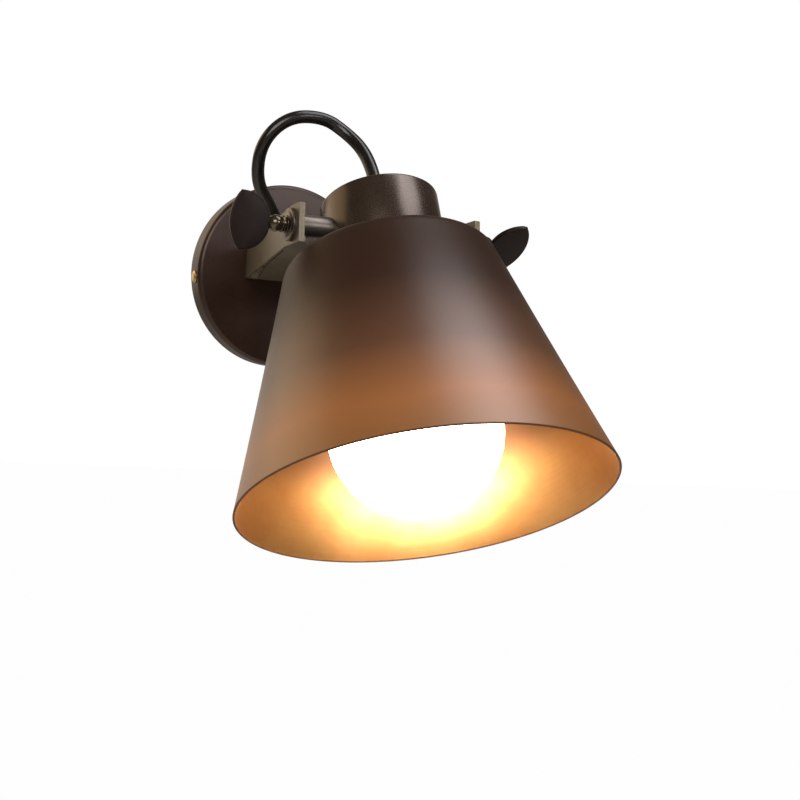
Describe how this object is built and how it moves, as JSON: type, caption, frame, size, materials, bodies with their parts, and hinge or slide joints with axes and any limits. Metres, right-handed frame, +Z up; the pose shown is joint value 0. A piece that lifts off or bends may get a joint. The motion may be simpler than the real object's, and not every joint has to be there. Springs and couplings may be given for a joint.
{
  "type": "wall lamp",
  "caption": "Wall lamp: round canopy, channel bracket and yoke carrying a tilting bell shade on leaf-shaped thumb screws, with a looped cord and a globe bulb.",
  "frame": {"origin": "centre of the wall bar's two screw slots, on the wall plane", "axes": "+Z up, +Y into the wall, +X to the left of a person facing away from the wall; the lamp stands out toward -Y"},
  "size_m": [0.181, 0.2987, 0.2361],
  "materials": {
    "bronze_paint": "satin bronze brown",
    "zinc_steel": "zinc plated",
    "bright_chrome": "polished",
    "brass": "plain",
    "fibre": "vulcanised fibre",
    "white_plastic": "matt",
    "black_plastic": "moulded",
    "cap_aluminium": "plain",
    "opal_glass": "opal",
    "cord_sheath": "smooth sheath",
    "cord_rubber": "moulded"
  },
  "bodies": {
    "base": {"canopy": "bronze_paint", "wall_bar": "zinc_steel", "rim_screws": "brass", "earth_screw": "brass", "terminal_block": "white_plastic", "terminal_screws": "brass", "terminal_fixing": "zinc_steel", "arm_channel": "bronze_paint", "yoke": "bronze_paint", "yoke_rivets": "zinc_steel", "arm_screws": "zinc_steel", "arm_nuts": "zinc_steel", "cord_grommet": "cord_rubber", "cord_tail": "cord_sheath", "cord": "cord_sheath"},
    "head": {"centre_contact": "brass", "contact_base": "white_plastic", "cord_gland": "bronze_paint", "fibre_washers": "fibre", "holder_body": "black_plastic", "holder_cap": "black_plastic", "hollow_nipple": "zinc_steel", "neck_cup": "bronze_paint", "nipple_nut": "zinc_steel", "pivot_spacers": "bright_chrome", "pivot_studs": "zinc_steel", "shade": "bronze_paint", "shade_ring": "black_plastic", "steel_washers": "zinc_steel", "stud_nuts": "zinc_steel", "thread_shell": "brass", "wave_washers": "zinc_steel"},
    "left_knob": {"leaf_screw_left": "bronze_paint"},
    "right_knob": {"leaf_screw_right": "bronze_paint"},
    "bulb": {"bulb_cap": "cap_aluminium", "bulb_insulator": "black_plastic", "bulb_tip": "brass", "bulb_glass": "opal_glass", "bulb_stem": "white_plastic"}
  },
  "joints": [
    {"name": "head_tilt", "type": "hinge", "parent": "base", "child": "head", "pos_m": [0, -0.1505, 0.017], "axis": [1, 0, 0], "range_deg": [-45, 27], "deforming": ["cord"]},
    {"name": "left_knob_turn", "type": "hinge", "parent": "head", "child": "left_knob", "pos_m": [-0.0587, -0.1505, 0.017], "axis": [-1, 0, 0], "continuous": true},
    {"name": "right_knob_turn", "type": "hinge", "parent": "head", "child": "right_knob", "pos_m": [0.0587, -0.1505, 0.017], "axis": [1, 0, 0], "continuous": true},
    {"name": "bulb_turn", "type": "hinge", "parent": "head", "child": "bulb", "pos_m": [0, -0.1732, -0.02755], "axis": [0, -0.454, -0.891], "continuous": true}
  ]
}
